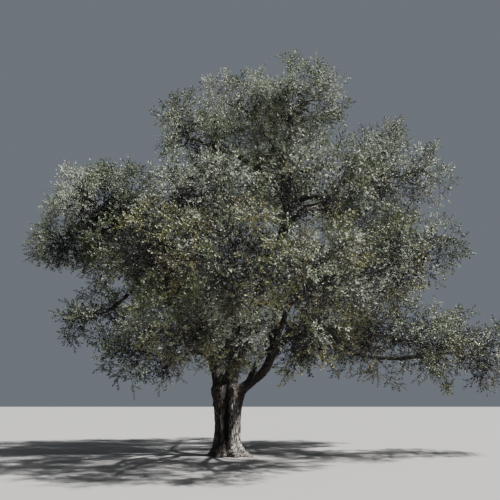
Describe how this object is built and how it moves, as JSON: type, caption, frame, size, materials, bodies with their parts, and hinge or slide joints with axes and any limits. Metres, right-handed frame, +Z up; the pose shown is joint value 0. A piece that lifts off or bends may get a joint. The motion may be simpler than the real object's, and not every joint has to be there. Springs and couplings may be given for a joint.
{
  "type": "leadwood tree",
  "caption": "Leadwood tree with a short fluted trunk that forks low into crooked stems under a broad uneven crown.",
  "frame": {"origin": "middle of the flat cut under the trunk, at ground level", "axes": "+Z up, +X to the viewer's right in the picture and along the crown's widest spread, +Y away from the viewer"},
  "size_m": [17.1432, 14.7986, 14.4973],
  "materials": {
    "bark": "pale grey-brown bark, deeply cracked into small blocks, matt",
    "leaves": "small leathery leaves, grey-green with a silvery bloom"
  },
  "bodies": {
    "root": {"trunk": "bark", "bough_back": "bark", "bough_back_crown_left": "bark", "bough_back_crown_right": "bark", "bough_back_left": "bark", "bough_back_right": "bark", "bough_back_top": "bark", "bough_crest": "bark", "bough_far_left": "bark", "bough_front_crown_left": "bark", "bough_front_crown_right": "bark", "bough_front_left_low": "bark", "bough_front_low": "bark", "bough_front_mid": "bark", "bough_front_right": "bark", "bough_left_back": "bark", "bough_left_front": "bark", "bough_left_hang": "bark", "bough_left_low": "bark", "bough_left_shoulder": "bark", "bough_low_back_right": "bark", "bough_low_far_right": "bark", "bough_low_front_right": "bark", "bough_low_right": "bark", "bough_peak": "bark", "bough_right_mid": "bark", "bough_right_tip": "bark", "bough_right_upper": "bark", "bough_top_left": "bark", "bough_top_right": "bark", "foliage_back": "leaves", "foliage_back_crown_left": "leaves", "foliage_back_crown_right": "leaves", "foliage_back_left": "leaves", "foliage_back_right": "leaves", "foliage_back_top": "leaves", "foliage_crest": "leaves", "foliage_far_left": "leaves", "foliage_front_crown_left": "leaves", "foliage_front_crown_right": "leaves", "foliage_front_left_low": "leaves", "foliage_front_low": "leaves", "foliage_front_mid": "leaves", "foliage_front_right": "leaves", "foliage_left_back": "leaves", "foliage_left_front": "leaves", "foliage_left_hang": "leaves", "foliage_left_low": "leaves", "foliage_left_shoulder": "leaves", "foliage_low_back_right": "leaves", "foliage_low_far_right": "leaves", "foliage_low_front_right": "leaves", "foliage_low_right": "leaves", "foliage_peak": "leaves", "foliage_right_mid": "leaves", "foliage_right_tip": "leaves", "foliage_right_upper": "leaves", "foliage_top_left": "leaves", "foliage_top_right": "leaves"}
  },
  "joints": []
}
